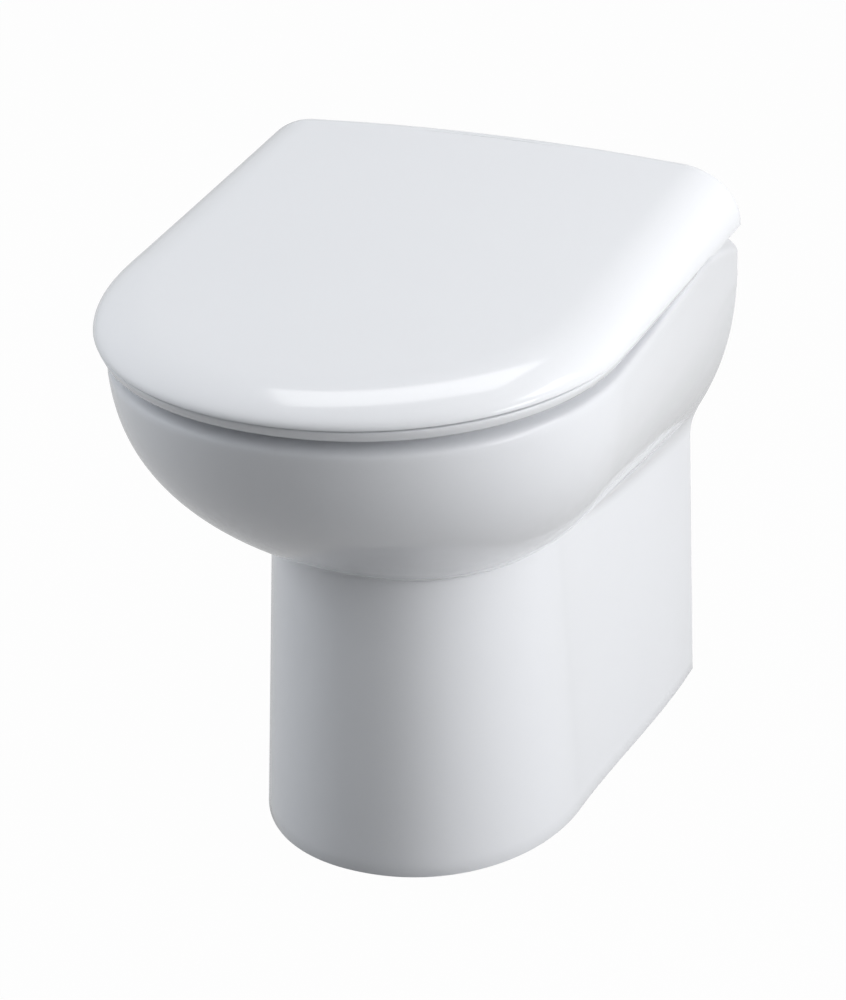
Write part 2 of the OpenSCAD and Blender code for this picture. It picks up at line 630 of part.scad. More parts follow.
module at_studs() {
  for (side = [-1, 1]) translate([side * post_x, hinge_y, 0]) children();
}
module hinge_studs() {
  color("silver") at_studs() translate([0, 0, stud_low]) cylinder(d = stud_d, h = stud_high - stud_low);
}
bush_low = seam_h;
module stud_bushes() {
  color("dimgray") at_studs() translate([0, 0, bush_low]) difference() {
    cylinder(r = deck_hole_r - run_clear, h = rim_h - bush_low);
    translate([0, 0, -cut]) cylinder(r = stud_d / 2 + run_clear, h = rim_h - bush_low + 2 * cut);
  }
}
stud_washer_t = 3;
stud_washer_z = seam_h - run_clear - stud_washer_t;
module stud_washers() {
  color("whitesmoke") at_studs() translate([0, 0, stud_washer_z]) difference() {
    cylinder(r = deck_hole_r + 6, h = stud_washer_t);
    translate([0, 0, -cut]) cylinder(r = stud_d / 2 + run_clear, h = stud_washer_t + 2 * cut);
  }
}
nut_h = 12;
nut_r = 8;
wing_span = 34;
module wing_nuts() {
  color("whitesmoke") at_studs() translate([0, 0, stud_washer_z - nut_h]) difference() {
    union() {
      cylinder(r1 = nut_r - 1.5, r2 = nut_r, h = nut_h);
      translate([0, 0, nut_h / 2 - 1]) cube([wing_span, 4, nut_h - 2], center = true);
    }
    translate([0, 0, -cut]) cylinder(r = stud_d / 2 + run_clear, h = nut_h + 2 * cut);
  }
}

skirt();
bowl();
trap_entry_bend();
trap_climb();
trap_fall();
trap_outlet_bend();
outlet_spigot();
inlet_horn();
flush_cone();
foot_lugs();
floor_sleeves();
floor_washers();
floor_screws();
seat_ring();
seat_buffers_front();
seat_buffers_rear();
lid();
lid_buffers();
hinge_post(-1);  // hinge_post_left
hinge_post(1);  // hinge_post_right
hinge_pin(-1);  // hinge_pin_left
hinge_pin(1);  // hinge_pin_right
rosette(-1);  // rosette_left
rosette(1);  // rosette_right
damper(-1);  // damper_left
damper(1);  // damper_right
hinge_studs();
stud_bushes();
stud_washers();
wing_nuts();
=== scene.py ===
import bpy, bmesh
from math import sin, cos, pi, radians, atan2, sqrt
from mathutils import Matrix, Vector


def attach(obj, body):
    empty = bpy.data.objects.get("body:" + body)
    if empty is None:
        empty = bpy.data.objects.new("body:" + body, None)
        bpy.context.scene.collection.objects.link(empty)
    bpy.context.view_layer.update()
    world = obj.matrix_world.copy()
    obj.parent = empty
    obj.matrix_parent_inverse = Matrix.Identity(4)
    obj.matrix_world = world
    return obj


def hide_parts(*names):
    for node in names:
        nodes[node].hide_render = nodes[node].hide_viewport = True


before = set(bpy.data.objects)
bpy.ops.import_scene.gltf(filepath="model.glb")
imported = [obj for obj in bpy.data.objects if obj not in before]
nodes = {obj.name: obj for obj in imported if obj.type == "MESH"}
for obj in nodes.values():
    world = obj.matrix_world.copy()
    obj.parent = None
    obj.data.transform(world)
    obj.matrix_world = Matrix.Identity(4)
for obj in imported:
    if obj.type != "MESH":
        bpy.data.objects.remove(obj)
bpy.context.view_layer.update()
print("frame loaded:", len(nodes), "nodes")


# camera
camSet = {"place": (0.95266, -2.13204, 1.41791), "turn": (63.2685, 1.8792, 22.9389), "lens": 132.28}

def makeCamera():
    data = bpy.data.cameras.new("photoCamera")
    data.lens = camSet["lens"]            # on a 36 mm sensor, long side of the picture
    data.sensor_width = 36
    data.clip_end = 60
    cam = bpy.data.objects.new("photoCamera", data)
    cam.location = camSet["place"]
    cam.rotation_euler = [radians(a) for a in camSet["turn"]]
    bpy.context.collection.objects.link(cam)
    bpy.context.scene.camera = cam

makeCamera()
print("camera placed")


# materials
def newMaterial(name):
    mat = bpy.data.materials.new(name)
    mat.use_nodes = True
    tree = mat.node_tree
    shader = tree.nodes["Principled BSDF"]
    return mat, tree, shader

def noiseNode(tree, scale, detail=3.0):
    coords = tree.nodes.new("ShaderNodeTexCoord")
    noise = tree.nodes.new("ShaderNodeTexNoise")
    noise.inputs["Scale"].default_value = scale
    noise.inputs["Detail"].default_value = detail
    tree.links.new(coords.outputs["Object"], noise.inputs["Vector"])
    return noise

def rampNode(tree, source, low, high):
    ramp = tree.nodes.new("ShaderNodeMapRange")
    ramp.inputs["From Min"].default_value = 0.3
    ramp.inputs["From Max"].default_value = 0.7
    ramp.inputs["To Min"].default_value = low
    ramp.inputs["To Max"].default_value = high
    tree.links.new(source, ramp.inputs["Value"])
    return ramp

def tintNode(tree, source, first, second):
    mix = tree.nodes.new("ShaderNodeMix")
    mix.data_type = "RGBA"
    mix.inputs["A"].default_value = (*first, 1)
    mix.inputs["B"].default_value = (*second, 1)
    tree.links.new(source, mix.inputs["Factor"])
    return mix

def bumpFrom(tree, shader, source, distance, strength):
    bump = tree.nodes.new("ShaderNodeBump")
    bump.inputs["Strength"].default_value = strength
    bump.inputs["Distance"].default_value = distance
    tree.links.new(source, bump.inputs["Height"])
    tree.links.new(bump.outputs["Normal"], shader.inputs["Normal"])

def link(tree, source, shader, socket):
    tree.links.new(source, shader.inputs[socket])

def glossyWhite(name, values):
    # two whites in soft patches, slightly uneven gloss and a very shallow waviness
    mat, tree, shader = newMaterial(name)
    patches = noiseNode(tree, values["patches"], 2.0)
    tint = tintNode(tree, patches.outputs["Fac"], values["white"], values["cooler"])
    link(tree, tint.outputs["Result"], shader, "Base Color")
    rough = rampNode(tree, noiseNode(tree, values["sheen"]).outputs["Fac"], *values["rough"])
    link(tree, rough.outputs["Result"], shader, "Roughness")
    bumpFrom(tree, shader, noiseNode(tree, values["waves"], 1.0).outputs["Fac"], values["waviness"], 1.0)
    shader.inputs["IOR"].default_value = values["ior"]
    shader.inputs["Coat Weight"].default_value = values["coat"]
    shader.inputs["Coat Roughness"].default_value = values["coatRough"]
    return mat

def grainedMaterial(name, light, dark, rough, grain, bump, metallic):
    # one fine grain drives tone, gloss and relief
    mat, tree, shader = newMaterial(name)
    grains = noiseNode(tree, *grain).outputs["Fac"]
    link(tree, tintNode(tree, grains, light, dark).outputs["Result"], shader, "Base Color")
    link(tree, rampNode(tree, grains, *rough).outputs["Result"], shader, "Roughness")
    bumpFrom(tree, shader, grains, *bump)
    shader.inputs["Metallic"].default_value = metallic
    return mat

glazeSet = {"white": (0.80, 0.811, 0.838), "cooler": (0.788, 0.80, 0.829), "rough": (0.085, 0.13),
            "patches": 6.0, "sheen": 55.0, "waves": 28.0, "waviness": 0.00006,
            "ior": 1.52, "coat": 0.35, "coatRough": 0.03}
plasticSet = {"white": (0.82, 0.830, 0.855), "cooler": (0.812, 0.823, 0.849), "rough": (0.10, 0.15),
              "patches": 5.0, "sheen": 80.0, "waves": 40.0, "waviness": 0.00003,
              "ior": 1.55, "coat": 0.3, "coatRough": 0.05}
metalBump, metal, plain = (0.00002, 0.4), 1.0, 0.0
grainedSet = {  # light and dark tone, roughness, the grain's scale and detail, its depth and strength, metallic
    "polishedChrome": ((0.82, 0.83, 0.84), (0.78, 0.79, 0.80), (0.05, 0.09), (90.0, 4.0), metalBump, metal),
    "zincSteel": ((0.62, 0.63, 0.64), (0.50, 0.51, 0.53), (0.28, 0.42), (240.0, 4.0), metalBump, metal),
    "padRubber": ((0.74, 0.745, 0.75), (0.68, 0.685, 0.69), (0.40, 0.55),
                  (300.0, 5.0), (0.00004, 1.0), plain),
    "damperPlastic": ((0.66, 0.665, 0.67), (0.60, 0.605, 0.61), (0.35, 0.48),
                      (400.0, 5.0), (0.00003, 1.0), plain),
    "fixingPlastic": ((0.76, 0.76, 0.75), (0.70, 0.70, 0.69), (0.38, 0.50),
                      (350.0, 5.0), (0.00003, 1.0), plain),
    "blackRubber": ((0.035, 0.035, 0.037), (0.02, 0.02, 0.021), (0.55, 0.70),
                    (260.0, 5.0), (0.00006, 1.0), plain)}

china = glossyWhite("glazedChina", glazeSet)
seatPlastic = glossyWhite("pressedPlastic", plasticSet)
chrome, steel, pads, dampers, fixings, rubber = [
    grainedMaterial(name, *values) for name, values in grainedSet.items()]
print("materials made")


# plan curves; all sizes are in metres
plan = {"sideSteps": 64, "arcSteps": 56, "power": 2.1, "sidePower": 1.5}
wallY, frontY = 0.2435, -0.244      # the pan's flat back and the lid's front edge

def frontArc(hw, yc, yf, power, steps):
    # from the side, where the curve starts, round to the middle of the front
    e = 2 / power
    return [(hw * max(cos(pi / 2 * i / steps), 0) ** e if i < steps else 0.0,
             yc - (yc - yf) * sin(pi / 2 * i / steps) ** e) for i in range(steps + 1)]

def halfPlan(hb, hc, yb, yc, yf, bow=0.0, power=None):
    # hb, hc: half widths at the back and where the front curve starts; yb, yc, yf: back, curve start, front
    # bow: how far the side swells between them, at most
    n = plan["sideSteps"]
    side = [(hc + (hb - hc) * (1 - i / n) ** plan["sidePower"] + 6.75 * bow * i / n * (1 - i / n) ** 2,
             yb + (yc - yb) * i / n) for i in range(n)]
    return side + frontArc(hc, yc, yf, power or plan["power"], plan["arcSteps"])

def halfOval(hw, yr, yc, yf, rearSteps):
    rear = [(hw * cos(pi / 2 * (1 - i / rearSteps)), yc + (yr - yc) * sin(pi / 2 * (1 - i / rearSteps)))
            for i in range(rearSteps)]
    return rear + frontArc(hw, yc, yf, plan["power"], plan["arcSteps"])

def mirrored(half):
    return half + [(-p[0], *p[1:]) for p in half[-2::-1]]

def addRing(bm, points):
    return [bm.verts.new(p) for p in points]

def bridge(bm, a, b, closed):
    n = len(a)
    for i in range(n if closed else n - 1):
        j = (i + 1) % n
        bm.faces.new((a[i], a[j], b[j], b[i]))

def finishMesh(bm, name, material, smooth=True):
    bmesh.ops.recalc_face_normals(bm, faces=bm.faces[:])
    mesh = bpy.data.meshes.new(name)
    bm.to_mesh(mesh)
    bm.free()
    for f in mesh.polygons:
        f.use_smooth = smooth
    mesh.materials.append(material)
    obj = bpy.data.objects.new(name, mesh)
    bpy.context.collection.objects.link(obj)
    return obj

def lerp(a, b, t):
    return a + (b - a) * t


# pan
panSet = {"wall": 0.012, "rimHeight": 0.400, "rimStart": 0.3845, "creaseFront": 0.231, "creaseWall": 0.217,
          "rise": 1.3, "swellFront": 0.413, "swellWall": 0.355, "bulge": 2.37,
          "footEdge": 0.0004, "footCurveY": 0.020, "footBow": 0.0032, "footWidth": 0.12,
          "footHalf": (0.1261, 0.1178), "footFront": -0.1160, "topHalf": (0.124, 0.105), "topFront": -0.099,
          "outerHalf": (0.161, 0.1798), "outerCurveY": -0.0512, "outerFront": -0.2355,
          "creaseSoft": (0.0003, 0.014), "softFrom": -0.01, "softTo": 0.12, "softStep": 0.0002,
          "mouth": (0.126, 0.080, -0.058, -0.190), "mouthEdge": 0.005, "backSteps": 24, "splitAngle": 42}
deckSet = {"fall": 0.034, "innerX": 0.1045, "outerX": 0.161, "startY": 0.110, "lengthY": 0.134,
           "startZ": 0.330, "heightZ": 0.070}
sumpSet = {"half": (0.047, 0.025), "y": (-0.053, -0.012), "z": (0.180, 0.130),
           "trapRadius": 0.038, "steps": 14}

def footPlan(half, front, inset=0.0):
    return halfPlan(half[0] - inset, half[1] - inset, wallY, panSet["footCurveY"], front + inset,
                    panSet["footBow"])

creaseHalf = footPlan(panSet["topHalf"], panSet["topFront"])

def towardsFront(wallValue, frontValue):
    length = wallY - panSet["topFront"]
    return [lerp(wallValue, frontValue, ((wallY - p[1]) / length) ** panSet["rise"]) for p in creaseHalf]

creaseZ = towardsFront(panSet["creaseWall"], panSet["creaseFront"])
swellZ = towardsFront(panSet["swellWall"], panSet["swellFront"])

def deckDrop(x, y, z):
    # the deck falls towards its rear corners
    d = deckSet
    a = max(0.0, (abs(x) - d["innerX"]) / (d["outerX"] - d["innerX"])) ** 1.5
    b = max(0.0, min(1.0, (y - d["startY"]) / d["lengthY"])) ** 2
    c = max(0.0, min(1.0, (z - d["startZ"]) / d["heightZ"]))
    return d["fall"] * a * b * c

def deckPoint(x, y):
    return (x, y, panSet["rimHeight"] - deckDrop(x, y, panSet["rimHeight"]))

def sideRing(heights, inset):
    back, widest = panSet["outerHalf"]
    a = footPlan(panSet["topHalf"], panSet["topFront"], inset)
    b = halfPlan(back - inset, widest - inset, wallY, panSet["outerCurveY"], panSet["outerFront"] + inset)
    half = []
    for i in range(len(a)):
        g = 1 - (1 - min(1.0, (heights[i] - creaseZ[i]) / (swellZ[i] - creaseZ[i]))) ** panSet["bulge"]
        x, y, z = lerp(a[i][0], b[i][0], g), lerp(a[i][1], b[i][1], g), heights[i]
        half.append((x, y, z - deckDrop(x, y, z)))
    return mirrored(half)

def footRing(shares, inset=0.0):
    # shares: how far up to the crease each point stands
    n = plan["sideSteps"]
    floorHalf = footPlan(panSet["footHalf"], panSet["footFront"])
    ring = []
    for i, (p, q, t) in enumerate(zip(floorHalf, creaseHalf, shares)):
        x, y = lerp(p[0], q[0], t), lerp(p[1], q[1], t)
        ring.append((x * (1 - inset / panSet["footWidth"]), y + inset * min(1, i / n), creaseZ[i] * t))
    return mirrored(ring)

cavityLevels = [  # height, half width, rear, start of the front curve, front
    (0.352, 0.133, 0.084, -0.058, -0.196), (0.330, 0.1245, 0.068, -0.058, -0.184),
    (0.310, 0.110, 0.038, -0.062, -0.162), (0.285, 0.090, 0.010, -0.066, -0.134),
    (0.255, 0.068, -0.012, -0.054, -0.093), (0.239, 0.0555, -0.017, -0.052, -0.076),
    (0.217, 0.050, -0.022, -0.052, -0.073), (0.180, 0.047, -0.027, -0.053, -0.077)]

rimSection = [  # inset and height of the rim's outer edge: a small round, a slope under the seat, the top
    (0.0001, 0.3866), (0.0004, 0.3883), (0.0009, 0.3896), (0.0018, 0.3906), (0.0032, 0.3914),
    (0.0052, 0.3921), (0.0080, 0.3930), (0.0120, 0.3942), (0.0165, 0.3957), (0.0210, 0.3972),
    (0.0240, 0.3984), (0.0262, 0.3994), (0.0285, 0.400)]

def ovalRing(grow, rearSteps):
    hw, yr, yc, yf = panSet["mouth"]
    return mirrored(halfOval(hw + grow, yr + grow, yc, yf - grow, rearSteps))[:-1]

def cavityRing(k, rearSteps):
    z, hw, yr, yc, yf = k
    return [(p[0], p[1], z) for p in mirrored(halfOval(hw, yr, yc, yf, rearSteps))][:-1]

def smoothLevels(levels, per):
    out = []
    n = len(levels)
    for i in range(n - 1):
        p0, p1, p2, p3 = levels[max(i - 1, 0)], levels[i], levels[i + 1], levels[min(i + 2, n - 1)]
        for j in range(per):
            t = j / per
            out.append(tuple(0.5 * (2 * b + (c - a) * t + (2 * a - 5 * b + 4 * c - d) * t * t
                                    + (3 * b - a - 3 * c + d) * t ** 3)
                             for a, b, c, d in zip(p0, p1, p2, p3)))
    return out + [levels[-1]]

def easeIn(t):
    t = max(0.0, min(1.0, t))
    return t * t * (3 - 2 * t)

def blendSize(y):
    # crisp at the front, a wide blend near the wall
    t = (y - panSet["softFrom"]) / (panSet["softTo"] - panSet["softFrom"])
    return lerp(*panSet["creaseSoft"], easeIn(t))

softness = [blendSize(p[1]) for p in creaseHalf]
softZ = [c + d for c, d in zip(creaseZ, softness)]
softShares = [1 - d / c for c, d in zip(creaseZ, softness)]
level, full = [0.0] * len(creaseHalf), [1.0] * len(creaseHalf)

def blendRings():
    # start, guide point and end of the blend between the foot and the swelling side, tangent to both
    start, corner = footRing(softShares), footRing(full)
    end, beyond = sideRing(softZ, 0), sideRing([z + panSet["softStep"] for z in softZ], 0)
    guide = []
    for p, c, e, f in zip(*(map(Vector, ring) for ring in (start, corner, end, beyond))):
        down, side = (c - p) / (c.z - p.z), (f - e) / (f.z - e.z)
        out = Vector((e.x - c.x, e.y - c.y, 0))
        z = ((e - side * e.z) - (p - down * p.z)).dot(out) / (down - side).dot(out)
        guide.append(p + down * (max(p.z, min(e.z, z)) - p.z))
    return start, guide, end

def curveThrough(start, guide, end, t):
    return [tuple((1 - t) ** 2 * p + 2 * t * (1 - t) * q + t * t * r for p, q, r in zip(*k))
            for k in zip(start, guide, end)]

def outerRings():
    # from the floor up over the crease and round the rim
    edge = panSet["footEdge"]
    rings = [[(x, y, z + up) for x, y, z in footRing(level, inset)]
             for up, inset in ((0, edge), (edge * 0.3, edge * 0.3), (edge, 0))]
    rings += [footRing([s * t for t in softShares]) for s in (0.05, 0.2, 0.4, 0.6, 0.8, 0.92, 0.97)]
    blend = blendRings()
    rings += [curveThrough(*blend, i / 10) for i in range(11)]
    for t in [0.015, 0.035, 0.065] + [0.1 + 0.9 * i / 30 for i in range(31)]:
        rings.append(sideRing([c + (panSet["rimStart"] - c) * t for c in softZ], 0))
    rings += [sideRing([height] * len(creaseZ), inset) for inset, height in rimSection]
    return rings

def innerRings(rearSteps):
    # from the mouth's edge down the basin to the mouth of the trap
    mouth, wide = ovalRing(0, rearSteps), ovalRing(panSet["mouthEdge"], rearSteps)
    rings = []
    for i in range(1, 8):            # rounded edge of the mouth
        a = pi / 2 * i / 7
        z = panSet["rimHeight"] - panSet["mouthEdge"] * (1 - cos(a))
        rings.append([(lerp(w[0], m[0], sin(a)), lerp(w[1], m[1], sin(a)), z) for w, m in zip(wide, mouth)])
    for z, grow in ((0.392, 0), (0.375, 0), (0.359, 0), (0.3566, 0.0008), (0.356, 0.003), (0.356, 0.006)):
        rings.append([(x, y, z) for x, y in ovalRing(grow, rearSteps)])
    rings += [cavityRing(k, rearSteps) for k in smoothLevels(cavityLevels, 6)]
    low = rings[-1]                  # the sump turns back into the mouth of the trap
    (halfX, halfY), (y0, y1), (z0, z1) = sumpSet["half"], sumpSet["y"], sumpSet["z"]
    for i in range(1, sumpSet["steps"] + 1):
        t = i / sumpSet["steps"]
        a, w = pi / 2 * t, t ** 0.7
        centreY, centreZ = lerp(y0, y1, sin(a) * 0.45 + t * t * 0.55), lerp(z0, z1, sin(a))
        points = []
        for x, y, z in low:
            u, v = x / halfX, (y - y0) / halfY
            size = sqrt(u * u + v * v)
            pu = lerp(x, sumpSet["trapRadius"] * u / size, w)
            pv = lerp(y - y0, sumpSet["trapRadius"] * v / size, w)
            points.append((pu, centreY + pv * cos(a), centreZ + pv * sin(a)))
        rings.append(points)
    return rings

def makePan():
    bm = bmesh.new()
    outer = outerRings()
    current = addRing(bm, outer[0])
    for points in outer[1:]:
        ring = addRing(bm, points)
        bridge(bm, current, ring, False)
        current = ring
    # deck: the rim ring is closed along the wall and runs in to the mouth
    backSteps, xr = panSet["backSteps"], outer[-1][0][0]
    back = addRing(bm, [deckPoint(-xr + 2 * xr * i / backSteps, wallY) for i in range(1, backSteps)])
    closedRim = current + back       # from the right wall corner round the front and back along the wall
    shift = backSteps // 2
    current = closedRim[-shift:] + closedRim[:-shift]     # starts at the middle of the wall edge
    rearSteps = shift + plan["sideSteps"]
    start = [v.co.copy() for v in current]
    wide = ovalRing(panSet["mouthEdge"], rearSteps)
    deck = [[deckPoint(lerp(p.x, q[0], t), lerp(p.y, q[1], t)) for p, q in zip(start, wide)]
            for t in (0.12, 0.28, 0.46, 0.64, 0.82, 1.0)]
    for points in deck + innerRings(rearSteps):
        ring = addRing(bm, points)
        bridge(bm, current, ring, True)
        current = ring
    return finishMesh(bm, "pan", china)

def facing(obj, point, direction):
    # turns the whole sheet so that its front side looks the right way
    mesh = obj.data
    best = min(mesh.polygons, key=lambda f: (f.center - Vector(point)).length)
    if best.normal.dot(Vector(direction)) < 0:
        mesh.flip_normals()

pan = makePan()
facing(pan, (0.0, -0.15, 0.26), (0, -1, -0.5))
thick = pan.modifiers.new("castWall", "SOLIDIFY")
thick.thickness = panSet["wall"]
thick.offset = -1
thick.use_even_offset = False
crisp = pan.modifiers.new("crispEdges", "EDGE_SPLIT")
crisp.split_angle = radians(panSet["splitAngle"])
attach(pan, "pan")
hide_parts("skirt", "bowl")
print("pan:", len(pan.data.polygons), "faces")


# hinge arms: a flat arm with a barrel at its end and a bore for the pin
hingeSet = {"y": 0.192, "z": 0.432, "barrel": 0.010, "bore": 0.00405, "width": 0.014, "edge": 0.0012}

def hullAngles(points, steps):
    # outline of the convex hull, resampled by angle about the hinge axis
    out = []
    for i in range(steps):
        a = 2 * pi * i / steps
        d = Vector((cos(a), sin(a)))
        best = 0.0               # where the ray meets the hull furthest out
        for j in range(len(points)):
            p, q = points[j], points[(j + 1) % len(points)]
            e = q - p
            den = d.x * e.y - d.y * e.x
            if abs(den) < 1e-12:
                continue
            t = (p.x * e.y - p.y * e.x) / den
            s = (p.x * d.y - p.y * d.x) / den
            if t > 0 and -1e-6 <= s <= 1 + 1e-6:
                best = max(best, t)
        out.append(d * best)
    return out

def convexHull(points):
    pts = sorted(set((round(p[0], 7), round(p[1], 7)) for p in points))
    def leftTurn(a, b, c):
        return (b[0] - a[0]) * (c[1] - a[1]) - (b[1] - a[1]) * (c[0] - a[0]) > 0
    def half(seq):
        h = []
        for p in seq:
            while len(h) > 1 and not leftTurn(h[-2], h[-1], p):
                h.pop()
            h.append(p)
        return h
    a, b = half(pts), half(pts[::-1])
    return [Vector(p) for p in a[:-1] + b[:-1]]

def addArm(bm, x, block):
    # block: (y0, y1, z0, z1) of the arm's far end
    r, e, w = hingeSet["barrel"], hingeSet["edge"], hingeSet["width"] / 2
    circle = [(r * cos(2 * pi * i / 64), r * sin(2 * pi * i / 64)) for i in range(64)]
    y0, y1, z0, z1 = block
    corners = [(y - hingeSet["y"], z - hingeSet["z"]) for y in (y0, y1) for z in (z0, z1)]
    outline = hullAngles(convexHull(circle + corners), 96)
    rings = []
    steps = ((-w, e), (-w + e * 0.3, e * 0.3), (-w + e, 0), (w - e, 0), (w - e * 0.3, e * 0.3), (w, e))
    for side, inset in steps:
        ring = []
        for p in outline:
            q = p * (1 - inset / p.length)
            ring.append((x + side, hingeSet["y"] + q.x, hingeSet["z"] + q.y))
        rings.append(addRing(bm, ring))
    for a, b in zip(rings, rings[1:]):
        bridge(bm, a, b, True)
    bore = []
    for side in (-w, w):
        points = []
        for i in range(96):
            a = 2 * pi * i / 96
            y, z = hingeSet["y"] + hingeSet["bore"] * cos(a), hingeSet["z"] + hingeSet["bore"] * sin(a)
            points.append((x + side, y, z))
        bore.append(addRing(bm, points))
    bridge(bm, rings[0], bore[0], True)
    bridge(bm, rings[-1], bore[1], True)
    bridge(bm, bore[0], bore[1], True)


# seat ring
seatShape = {"bottom": 0.404, "edgeTop": 0.4111, "top": 0.424, "halfWidth": 0.1843,
             "front": -0.2403, "rear": 0.100, "bridgeRound": 0.008, "neckRound": 0.007, "cornerRound": 0.010,
             "bridgeHalf": 0.1175, "bridgeRear": 0.161, "curveY": -0.058, "armX": 0.0607,
             "armBlock": (0.137, 0.157, 0.406, 0.418),
             "holeHalf": 0.112, "holeRear": 0.062, "holeFront": -0.178}

def cornerArc(cx, cy, r, a0, a1, steps):
    angles = [lerp(a0, a1, i / steps) for i in range(steps + 1)]
    return [(cx + r * cos(a), cy + r * sin(a)) for a in angles]

def seatOutline(side, rear, bridgeIn):
    # from the middle of the rear edge round the right side to the front
    s = seatShape
    hw, yr = s["halfWidth"] - side, s["rear"] - rear
    bh, br = s["bridgeHalf"] - bridgeIn, s["bridgeRear"] - bridgeIn
    r, f, c = s["bridgeRound"], s["neckRound"], s["cornerRound"]
    half = [(bh * 0.92 * i / 10, br) for i in range(10)]
    half += cornerArc(bh - r, br - r, r, pi / 2, 0, 6)
    half += cornerArc(bh + f, yr + f, f, pi, 1.5 * pi, 6)
    half += [(lerp(bh + f, hw - c, (i + 1) / 6), yr) for i in range(5)]
    half += cornerArc(hw - c, yr - c, c, pi / 2, 0, 8)
    half += [(hw, lerp(yr - c, s["curveY"], (i + 1) / 12)) for i in range(11)]
    return half + frontArc(hw, s["curveY"], s["front"] + side, plan["power"], plan["arcSteps"])

def makeSeat():
    bm = bmesh.new()
    s = seatShape
    levels = [  # height, inset of side, of the rear edge, of the bridge
        (s["bottom"], 0.0068, 0.0050, 0.0060), (s["bottom"] - 0.0009, 0.0050, 0.0034, 0.0044),
        (s["bottom"] - 0.0012, 0.0044, 0.0020, 0.0030), (s["bottom"] - 0.0009, 0.0034, 0.0010, 0.0018),
        (s["bottom"] + 0.0002, 0.0026, 0.0004, 0.0008), (s["bottom"] + 0.0030, 0.0014, 0.0, 0.0),
        (s["edgeTop"] - 0.0012, 0.0001, 0.0, 0.0), (s["edgeTop"] - 0.0003, 0.0004, 0.0, 0.0),
        (s["edgeTop"], 0.0013, 0.0, 0.0), (s["edgeTop"], 0.0088, 0.0, 0.0),
        (s["edgeTop"] + 0.0004, 0.0095, 0.0, 0.0), (s["top"] - 0.0070, 0.0110, 0.0002, 0.0),
        (s["top"] - 0.0045, 0.0130, 0.0006, 0.0002), (s["top"] - 0.0024, 0.0165, 0.0016, 0.0008),
        (s["top"] - 0.0009, 0.0210, 0.0030, 0.0018), (s["top"] - 0.0002, 0.0250, 0.0045, 0.0030),
        (s["top"], 0.0290, 0.006, 0.0045)]
    holes = [  # height and how much wider than the hole
        (s["top"], 0.014), (s["top"] - 0.0006, 0.009), (s["top"] - 0.0020, 0.0050),
        (s["top"] - 0.0045, 0.0018), (s["top"] - 0.0080, 0.0003), (s["bottom"] + 0.0050, 0.0),
        (s["bottom"] + 0.0022, 0.0004), (s["bottom"] + 0.0007, 0.0012), (s["bottom"], 0.0028)]
    halves = [(z, seatOutline(a, b, c)) for z, a, b, c in levels]
    rearCount = len(halves[0][1]) - plan["arcSteps"] - 1
    for z, grow in holes:
        hw, yr, yf = s["holeHalf"] + grow, s["holeRear"] + grow, s["holeFront"] - grow
        halves.append((z, halfOval(hw, yr, s["curveY"], yf, rearCount)))
    rings = [addRing(bm, [(p[0], p[1], z) for p in mirrored(half)][:-1]) for z, half in halves]
    for a, b in zip(rings, rings[1:] + rings[:1]):
        bridge(bm, a, b, True)
    for side in (-1, 1):
        addArm(bm, side * s["armX"], s["armBlock"])
    return finishMesh(bm, "seatRing", seatPlastic)

seat = makeSeat()
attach(seat, "seat")
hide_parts("seat_ring")
print("seat:", len(seat.data.polygons), "faces")


# lid
lidShape = {"halfWidth": 0.187, "rear": 0.172, "bottom": 0.4132, "curveY": -0.058,
            "topRear": 0.4568, "fall": 0.0239, "round": 0.042, "crown": 0.008, "power": 2.03,
            "wall": 0.005, "armX": 0.0943,
            "armBlock": (0.153, 0.171, 0.428, 0.450), "notchX": (0.0517, 0.0697), "notchTop": 0.444,
            "markHalf": 0.141, "tailDrop": 0.002, "tailY": 0.106, "tailRun": 0.006, "cornerX": 0.18,
            "edgeWidth": 0.0012, "edgeSteps": 3, "edgeAngle": 50}
restSet = {"places": ((0.097, -0.155), (0.128, 0.040)), "bottom": 0.4283, "radius": 0.008, "below": 0.0005}

def lidTop(y):
    return lidShape["topRear"] - lidShape["fall"] * (lidShape["rear"] - y) / (lidShape["rear"] - frontY)

def lidRing(up, inward):
    s = lidShape
    w = s["halfWidth"]
    half = []
    for x, y in halfPlan(w - inward, w - inward, s["rear"], s["curveY"], frontY + inward, power=s["power"]):
        crest = lidTop(y) - s["crown"] * (1 - inward / w) ** 2
        half.append((x, y, s["bottom"] + (crest - s["bottom"]) * up))
    return mirrored(half)

def rearEdge(ring):
    # points along the rear edge, from the left corner to the right one, with columns at the notches
    xr, z = ring[0][0], ring[0][2]
    reach = lidShape["markHalf"]
    inner, outer = lidShape["notchX"]
    k = min(1.0, xr / reach)
    marks = [-0.86, -outer / reach, -inner / reach, -0.18, 0.0, 0.18, inner / reach, outer / reach, 0.86]
    return [(m * reach * k, lidShape["rear"], z) for m in marks]

